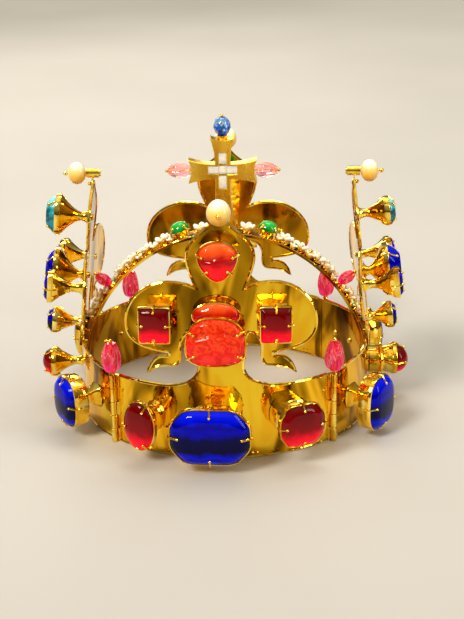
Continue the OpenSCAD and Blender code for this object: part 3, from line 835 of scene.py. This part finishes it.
def make_collets(name, side):
    """Collets with their rims, and the claws that hold the stones."""
    body, claws = Build(), Build()
    seed = side
    for rows in stones_of(side).values():
        for cut, angle, z, w, h, stand, crown, finish, style in rows:
            seed += 3.7
            place = on_wall(side, angle, z)
            body.add(*collet_body(cut, w, h, stand, style, seed), place, style == "folded")
            body.add(*rim_band(cut, w, h, stand), place)
            if style == "drum":
                ring = [(x, y, 0.42 * stand) for x, y in oval(*DRUM_RING, 40)]
                body.add(*wire(ring, DRUM_WIRE_R, closed=True), place)
            for turn in CLAWS[finish]:
                for part in claw(cut, w, h, stand, crown, turn, stand - RIM_H - 2):
                    claws.add(*part, place)
    body.piece(f"{name}_collet_cups", "gold_work", f"{name}_panel", "gold_work",
               [f"{name}_collets"], 30)
    claws.piece(f"{name}_collet_claws", "gold_work", f"{name}_panel", "gold_work")


def round_rows(finish, crown):
    power = 0.75 if finish == "tumbled" else 1
    return [(math.cos(math.radians(a)) ** power, crown * math.sin(math.radians(a)))
            for a in (4, 12, 21, 31, 42, 53, 64, 74, 82, 88)]


def lumpy(cut, h, seed, point):
    """Dents and folds of a stone that was only rubbed smooth."""
    x, y, z = point
    swell = 1 + 0.05 * noise.noise((x * 0.11 + seed, y * 0.11, z * 0.2))
    ripple = 0.45 * noise.noise((x * 0.3, y * 0.3 + seed, 0.5))
    rise = z + (ripple if z > 0.5 else 0)
    if cut == "loaf" and z > 0.5:
        line = y - h * (0.17 + 0.05 * math.cos(x * 0.2))
        rise -= 2.4 * math.exp(-(line / 1.1) ** 2) * min(1, z / 3)
        rise -= 0.9 if line > 0 else 0
    if cut == "pear" and z > 0.5:
        line = y - h * (0.12 + 0.06 * math.sin(x * 0.25))
        rise -= 1.1 * math.exp(-(line / 1.3) ** 2) * min(1, z / 2)
    return (x * swell, y * swell, max(rise, 0.2 if z > 0.5 else rise))


def faceted(outline, rows):
    """Rows of points each turned half a step from the last, joined by triangles."""
    half = len(outline) // 2
    verts, faces = [], []
    for index, (size, z) in enumerate(rows):
        verts += [(x * size, y * size, z) for x, y in outline[index % 2::2]]
    for index in range(len(rows) - 1):
        a, b = index * half, (index + 1) * half
        for i in range(half):
            j = (i + 1) % half
            if index % 2 == 0:
                faces += [[a + i, a + j, b + i], [a + j, b + j, b + i]]
            else:
                faces += [[a + i, b + j, b + i], [a + i, a + j, b + j]]
    faces.append(list(range(half))[::-1])
    faces.append([(len(rows) - 1) * half + i for i in range(half)])
    return verts, faces


def stone_mesh(cut, w, h, stand, crown, finish, seed):
    """Body of a stone that stands in its collet, and whether its faces are flat."""
    depth = cup_depth(w, h)
    below = [(0.34, -depth), (0.66, -0.7 * depth), (0.9, -0.3 * depth), (0.995, -0.5)]
    flat = finish in ("step", "buff", "brilliant")
    if finish == "brilliant":
        below = [(0.3, -depth), (0.75, -0.55 * depth), (1, -0.4)]
        above = [(1, 0.3), (0.84, 0.6 * crown), (0.6, crown)]
        verts, faces = faceted(girdle(cut, w, h, 0, 32), below + above)
    elif flat:
        above = [(1, 0.2), (0.93, 0.5 * crown), (0.82, 0.82 * crown), (0.62, crown)]
        if finish == "step":
            above = [(1, 0.3), (0.88, 0.6 * crown), (0.76, 0.9 * crown), (0.64, crown)]
        outline = girdle(cut, w, h, 0, 24) if cut == "cushion" else corner_outline(cut, w, h)
        verts, faces = stacked(outline, below + above)
    else:
        verts, faces = stacked(girdle(cut, w, h, 0, 64), below + round_rows(finish, crown))
        if finish in RUBBED:
            verts = [lumpy(cut, h, seed, v) for v in verts]
    return [(x, y, z + stand) for x, y, z in verts], faces, flat


def make_stones(name, side):
    seed = 0.0
    for kind, rows in stones_of(side).items():
        looks = {"cut": Build(), "rubbed": Build(), "warm": Build()}
        for cut, angle, z, w, h, stand, crown, finish, _ in rows:
            seed += 2.3
            verts, faces, flat = stone_mesh(cut, w, h, stand, crown, finish, seed)
            look = "cut"
            if finish in RUBBED:
                look = "rubbed" if cut == "loaf" else "warm"
            looks[look].add(verts, faces, on_wall(side, angle, z), flat, 1)
        body, slot = f"{name}_panel", STONE_SLOT[kind]
        looks["cut"].piece(f"{name}_cut_{kind}", slot, body, slot, [f"{name}_{kind}"], 32)
        for look in ("rubbed", "warm"):
            if looks[look].verts:
                looks[look].piece(f"{name}_{look}_{kind}", f"{look}_spinel", body, slot)


# ---- pearls and beads

TIP_PEARL_OUT = LILY_TIP_R + 9.3
TIP_PEARL_Z = LILY_H + 6
# Radius, and how much taller than wide
MAIN_PEARL = (7.2, 1.1)
SIDE_PEARL = (5.7, 1.26)


def pearl_shape(tall):
    """Taller than wide, and a little narrower above."""
    def shape(way):
        return 1 + (tall - 1) * way.z ** 2 - 0.06 * max(0, way.z) * (1 - way.z ** 2)
    return shape


def ribbed_bead(length, radius, seed, ribs, low=1.0):
    """Long bead rubbed down over its natural ribs, standing on its lower end. Where low is
    under 1, the bead is fattest below its middle."""
    rings = []
    for r in range(15):
        part = r / 14
        swell = 0.3 + 0.7 * math.sin(math.pi * (0.06 + 0.88 * part ** low)) ** 0.7
        ring = []
        for k in range(56):
            turn = 2 * math.pi * k / 56
            rib = 1 - 0.2 * abs(math.sin(ribs * turn / 2 + seed + 0.4 * part)) ** 2.2
            dent = 1 + 0.12 * noise.noise((math.cos(turn) + seed, math.sin(turn), 2 * part))
            reach = min(radius, radius * swell * rib * dent)
            ring.append((reach * math.cos(turn), reach * math.sin(turn), length * part))
        rings.append(ring)
    return loft(rings)


def make_pearls():
    for name, side in SIDES.items():
        pearl = Build()
        radius, tall = MAIN_PEARL if side % 180 == 0 else SIDE_PEARL
        pearl.add(*ball((0, -TIP_PEARL_OUT, TIP_PEARL_Z), radius, 24, 36, pearl_shape(tall)),
                  turned(side), rise=2)
        pearl.piece(f"{name}_lily_pearl", "pearl", f"{name}_panel", "pearl", [f"{name}_pearl"])


def make_pin_beads():
    corners = {"front_right": 45, "back_right": 135, "back_left": 225, "front_left": 315}
    for name, side in corners.items():
        bead = Build()
        bead.add(*ribbed_bead(PIN_BEAD_H, PIN_BEAD_R, side * 0.37, 5, 0.72),
                 turned(side) @ moved(0, -HINGE_R, PIN_BEAD_Z), rise=2)
        bead.piece(f"{name}_ribbed_bead", "pink_spinel", f"{name}_pin", "pink_spinel",
                   [f"{name}_pin_bead"], 60)


# ---- hinges

def hinge_barrel(index, cut):
    """One barrel round the hinge pin at -Y, or only its half towards -X."""
    z0 = index * BARREL_STEP
    z1 = z0 + BARREL_H
    section = ((BARREL_BORE, z0), (BARREL_R - 0.2, z0), (BARREL_R, z0 + 0.2),
               (BARREL_R, z1 - 0.2), (BARREL_R - 0.2, z1), (BARREL_BORE, z1))
    start, span = (90, 180) if cut else (0, 360)
    rings = []
    for k in range(25 if cut else 24):
        turn = math.radians(start + span * k / 24)
        rings.append([(r * math.cos(turn), r * math.sin(turn) - HINGE_R, z)
                      for r, z in section])
    return loft(rings, loop=not cut)


def hinge_leaf(index, hand):
    """Short leaf that joins a barrel to the end of its plate."""
    z0 = index * BARREL_STEP
    near, far = 0.3 - BAND_R, -BAND_R - LEAF_T
    ends = ((0, near), (0, far), (hand * (LEAF_W - 0.3), far), (hand * LEAF_W, near))
    return loft([[(x, y, z) for x, y in ends] for z in (z0, z0 + BARREL_H)])


def make_hinges():
    for name, side in SIDES.items():
        hinge = Build()
        for end, hand, outer in ((45, -1, ("front", "right")), (-45, 1, ("front", "left"))):
            cut = name == "back" and end > 0
            for index in (0, 2, 4) if name in outer else (1, 3):
                hinge.add(*hinge_barrel(index, cut), turned(side + end))
                hinge.add(*hinge_leaf(index, hand), turned(side + end))
        hinge.piece(f"{name}_hinge_barrels", "gold_work", f"{name}_panel", "gold_sheet",
                    [f"{name}_knuckles"])


# ---- arches

MM_PER_DEGREE = 1.645
STRAP_BEND = 90 * MM_PER_DEGREE
STRAP_END = STRAP_BEND + ARCH_SPRING - FOOT_Z
STRAP_WIRE_R = 0.45
STRAP_WIRE_IN = 0.4
# How far before the straight feet the wires end
STRAP_WIRE_STOP = 10

# Stations along a half arch, in degrees from the crossing
FLOWERS = (8.9, 24.4, 39.2, 44.2, 58.5, 64.5)
BUDS = (21.2, 27.9, 35.3, 48.2, 54.6, 61.4)
CHIPS = ((28.6, 0), (48.5, 4.4), (61.5, -4.4))
DOME_AT = 16.8
PEARL_FLOWER_AT = 31.4
BALL_AT = 35.3
BEAD_AT = 52

ROUND = oval(1, 1, 20)
FLOWER_SIZE = 4.9
PEARL_FLOWER_SIZE = 4.4
BUD_SIZES = (3.5, 2.7)
FLOWER_FOOT = ((0.62, -0.1), (0.8, 0.25), (0.8, 0.4), (0.4, 0.6))
CHIP_ROWS = ((1.1, 0.3), (1.3, 2.6), (0.8, 3.6))
BALL_FOOT = ((1.6, -0.3), (1.0, 0.8), (1.0, 2.8))
BEAD_FOOT = ((2.8, -0.3), (2.2, 0.8), (1.3, 2))
DOME_CUP = ((4.2, 0), (3.4, 0.7), (3.5, 1.82), (6.4, 5.2), (5.7, 5.2), (5.2, 4.2))
DOME_W = 13
DOME_H = 12.2
DOME_Z = 5.1
DOME_CROWN = 5.6

# Name, material, slot, the node that it replaces, and the angle of its sharp edges
ARCH_PIECES = {
    "gold": ("arch_gold_work", "gold_work", "gold_work", ["arch_collets"], 40),
    "petals": ("arch_white_flowers", "white_bloom", "pearl", [], 40),
    "chips": ("arch_green_chips", "emerald", "emerald", [], 40),
    "pearls": ("arch_pearl_flowers", "white_bloom", "pearl", ["arch_pearls"], 40),
    "domes": ("arch_emerald_domes", "emerald", "emerald", ["arch_emeralds"], 40),
    "beads": ("arch_ribbed_beads", "pink_spinel", "pink_spinel", ["arch_spinels"], 60),
}


def strap_place(lap):
    """Bends a flat strap over the crown; lap is how far it passes over the other one."""
    def place(along, across, out):
        reach = ARCH_A + STRAP_T / 2 + out
        if abs(along) > STRAP_BEND:
            drop = abs(along) - STRAP_BEND
            return Vector((math.copysign(reach, along), across,
                           ARCH_SPRING - drop + lap * (1 - drop / (ARCH_SPRING - FOOT_Z))))
        turn = math.radians(along / MM_PER_DEGREE)
        return Vector((reach * math.sin(turn), across,
                       ARCH_SPRING + lap + (ARCH_B + STRAP_T / 2 + out) * math.cos(turn)))
    return place


def strap_mesh(lap):
    side_count = 132
    half = STRAP_W / 2
    lower = [(-STRAP_END + 2 * STRAP_END * i / side_count, -half) for i in range(side_count + 1)]
    outline = lower + [(x, half) for x, _ in reversed(lower)]
    hole_at = STRAP_BEND + (ARCH_SPRING + lap - STUD_Z) / (1 + lap / (ARCH_SPRING - FOOT_Z))
    hole = oval(STUD_HOLE_R, STUD_HOLE_R, 20)
    holes = [[(hand * hole_at + x, y) for x, y in hole] for hand in (-1, 1)]
    spots = [(x, y) for x, _ in lower[1:-1] for y in (-2, 2)
             if abs(abs(x) - hole_at) > 3.2]
    return cut_sheet(outline, holes, spots, strap_place(lap), STRAP_T)


def make_straps():
    for name, turn, lap in (("side_to_side", 0, 0), ("front_to_back", 90, LAP)):
        strap, wires = Build(), Build()
        strap.add(*strap_mesh(lap), turned(turn))
        strap.piece(f"strap_{name}", "gold_sheet", CARRIER, "gold_sheet", [f"arch_{name}"])
        place = strap_place(lap)
        reach = STRAP_BEND - STRAP_WIRE_STOP
        for across in (-STRAP_W / 2 + STRAP_WIRE_IN, STRAP_W / 2 - STRAP_WIRE_IN):
            run = [place(reach * (i / 60 - 1), across, 0.1) for i in range(121)]
            wires.add(*wire(run, STRAP_WIRE_R, 6), turned(turn))
        wires.piece(f"strap_wires_{name}", "gold_work", CARRIER, "gold_work")


def flower(gold, petals, place, turn, size):
    """White flower of five raised petals round a gold eye, on a low gold cup."""
    gold.add(*stacked(ROUND, [(r * size, z * size) for r, z in FLOWER_FOOT]), place)
    for k in range(5):
        spin = Matrix.Rotation(turn + 2 * math.pi * k / 5, 4, "Z")
        shape = Matrix.Diagonal((0.56 * size, 0.42 * size, 0.26 * size, 1))
        petals.add(*ball((0, 0, 0), 1, 8, 12),
                   place @ spin @ moved(0.6 * size, 0, 0.82 * size) @ turned(-38, "Y") @ shape,
                   rise=2)
    gold.add(*ball((0, 0, 0.85 * size), 0.24 * size, 8, 12), place)


def arch_flowers(work, side, index):
    for s in FLOWERS:
        flower(work["gold"], work["petals"], on_arch(side, s), 1.3 * s + index, FLOWER_SIZE)
    for count, s in enumerate(BUDS):
        hand = 1 if count % 2 else -1
        for across, size in zip((2.6 * hand, -3.2 * hand), BUD_SIZES):
            flower(work["gold"], work["petals"], on_arch(side, s) @ moved(0, across, 0),
                   2.1 * s + across, size)


def arch_stones(work, side, index):
    gold = work["gold"]
    for s, across in CHIPS:
        work["chips"].add(*stacked(oval(1, 0.8, 8), CHIP_ROWS),
                          on_arch(side, s) @ moved(0, across, 0), True, 2)
    place = on_arch(side, BALL_AT)
    gold.add(*stacked(ROUND, BALL_FOOT), place)
    gold.add(*ball((0, 0, 3.6), 1.6, 12, 18), place)
    place = on_arch(side, DOME_AT)
    gold.add(*stacked(oval(1, 1, 28), DOME_CUP), place)
    for turn in (45, 135, 225, 315):
        for part in claw("oval", 12.9, 12.5, 5.0, 3.4, turn, 3.2, 0.86):
            gold.add(*part, place)
    dome = [(size, z + DOME_Z) for size, z in
            [(0.3, -0.8), (0.9, -0.4)] + round_rows("dome", DOME_CROWN)]
    work["domes"].add(*stacked(oval(DOME_W / 2, DOME_H / 2, 36), dome), place, rise=2)
    flower(gold, work["pearls"], on_arch(side, PEARL_FLOWER_AT), 0.5 + index, PEARL_FLOWER_SIZE)
    place = on_arch(side, BEAD_AT)
    gold.add(*stacked(ROUND, BEAD_FOOT), place)
    gold.add(*wire([(0, 0, 1), (0, 0, 14)], 0.75), place)
    gold.add(*ball((0, 0, 14.2), 1.2, 8, 12), place)
    work["beads"].add(*ribbed_bead(11, 4, side + index, 6), place @ moved(0, 0, 2), rise=2)


def make_arch_work():
    work = {kind: Build() for kind in ARCH_PIECES}
    for index, side in enumerate(SIDES.values()):
        arch_flowers(work, side, index)
        arch_stones(work, side, index)
    for kind, (name, material, slot, replaced, sharp) in ARCH_PIECES.items():
        work[kind].piece(name, material, CARRIER, slot, replaced, sharp)


# ---- cross

# Middle, width and height of the stepped crystals
CELLS = ((0, 8.5, 5, 7), (-5.8, 1, 7, 5), (5.8, 1, 7, 5), (0, 1, 4.6, 5), (0, -7, 5, 8))
CELL_DEPTH = 1.6
CROSS_FOOT_Z = ARCH_SPRING + ARCH_B + STRAP_T / 2 + LAP + 3
TOP_STONE_ROWS = ((2, -0.3), (4.4, 2.8), (5.6, 5.6), (5.75, 6.6), (5.3, 8.8), (4.1, 11),
                  (2.3, 12.4))


def cross_outline():
    n, reach, flare = CROSS_NECK, CROSS_ARM, CROSS_FLARE
    arm = (bezier((n, -n), (reach * 0.5, -n), (reach * 0.8, -flare * 0.8), (reach, -flare), 14)
           + bezier((reach, -flare), (reach - 2.4, -flare * 0.4), (reach - 2.4, flare * 0.4),
                    (reach, flare), 10)
           + bezier((reach, flare), (reach * 0.8, flare * 0.8), (reach * 0.5, n), (n, n), 14))
    foot = CROSS_FOOT_Z - CROSS_Z
    low = (bezier((-n, -n), (-n, -18), (-n - 0.5, -26), (-8, foot), 20) + [(-8, foot)]
           + bezier((8, foot), (n + 0.5, -26), (n, -18), (n, -n), 20))
    top_arm = [(-y, x) for x, y in arm]
    left_arm = [(-x, -y) for x, y in arm]
    return arm + top_arm + left_arm + low


def recessed(outline, pocket, front, back, floor):
    """Upright plate with a sunk pocket in its front. Its front faces -Y."""
    flat, kept = triangles_of(outline, [pocket], [])
    count = len(flat)
    verts = [Vector((p.x, y, p.y)) for y in (front, back, floor) for p in flat]
    raised = [t for t, hits in kept if not hits[0]]
    sunk = [t for t, hits in kept if hits[0]]
    faces = raised + [[i + 2 * count for i in t] for t in sunk]
    faces += [[i + count for i in reversed(t)] for t, _ in kept]
    faces += [[b, a, a + count, b + count] for a, b in border([t for t, _ in kept])]
    faces += [[a, b, b + 2 * count, a + 2 * count] for a, b in border(sunk)]
    return verts, faces


def make_cross():
    front = -CROSS_T / 2
    place = moved(0, 0, CROSS_Z)
    half = [(2.65, 12.2), (2.65, 3.7), (9.5, 3.7), (9.5, -1.7), (2.65, -1.7), (2.65, -11.2)]
    pocket = [(-x, z) for x, z in half] + half[::-1]
    cross = Build()
    cross.add(*recessed(cross_outline(), pocket, front, -front, front + CELL_DEPTH), place)
    piece = cross.piece("cross_gold", "gold_satin", CARRIER, "gold_sheet", ["cross_body"], 30)
    bevel = piece.modifiers.new("soft edges", "BEVEL")
    bevel.width = 0.35 * MM
    bevel.segments = 2
    bevel.limit_method = "ANGLE"
    bevel.angle_limit = math.radians(40)

    crystals = Build()
    for x, z, w, h in CELLS:
        rings = []
        for size, out in ((1, 0.0), (1, 0.7), (0.72, 1.35)):
            a, b = (w - 0.3) / 2 * size, (h - 0.3) / 2 * size
            y = front + CELL_DEPTH - 0.02 - out
            rings.append([(x + a * i, y, z + b * j)
                          for i, j in ((-1, -1), (1, -1), (1, 1), (-1, 1))])
        crystals.add(*loft(rings), place, True, 2)
    crystals.piece("cross_step_crystals", "crystal", CARRIER, "crystal", ["cross_crystals"])


def make_cross_ends():
    """Pale beads on the side arms and the clear stone on the top arm."""
    beads = Build()
    for hand in (-1, 1):
        place = moved(hand * (CROSS_ARM - 1.4), 0, CROSS_Z) @ turned(90 * hand, "Y")
        beads.add(*ribbed_bead(14, 5, 1.1 * hand, 6), place, rise=1)
    beads.piece("cross_ribbed_beads", "pale_spinel", CARRIER, "pink_spinel",
                ["cross_beads"], 60)
    top_stone = Build()
    top_stone.add(*faceted(oval(1, 1, 18), TOP_STONE_ROWS), moved(0, 0, CROSS_Z + CROSS_ARM),
                  True, 2)
    top_stone.piece("cross_top_stone", "clear_sapphire", CARRIER, "sapphire",
                    ["cross_sapphire"])


# ---- parts taken as they are

def dress_frame_nodes():
    """Materials and softened edges for the parts of the frame that stay as they are."""
    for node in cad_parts.values():
        if node.hide_render:
            continue
        node.data.materials.clear()
        node.data.materials.append(MATERIALS["gold_work"])
        node.data.shade_smooth()
        node.data.set_sharp_from_angle(angle=math.radians(35))


def make_floor():
    bpy.ops.mesh.primitive_plane_add(size=80, location=(0, 0, -0.0002))
    floor = bpy.context.object
    floor.name = "floor"
    floor.data.materials.append(floor_material())


make_camera()
make_lights()
make_floor()
make_plates()
for side_name, side_turn in SIDES.items():
    make_collets(side_name, side_turn)
    make_stones(side_name, side_turn)
make_pearls()
make_pin_beads()
make_hinges()
make_straps()
make_arch_work()
make_cross()
make_cross_ends()
dress_frame_nodes()
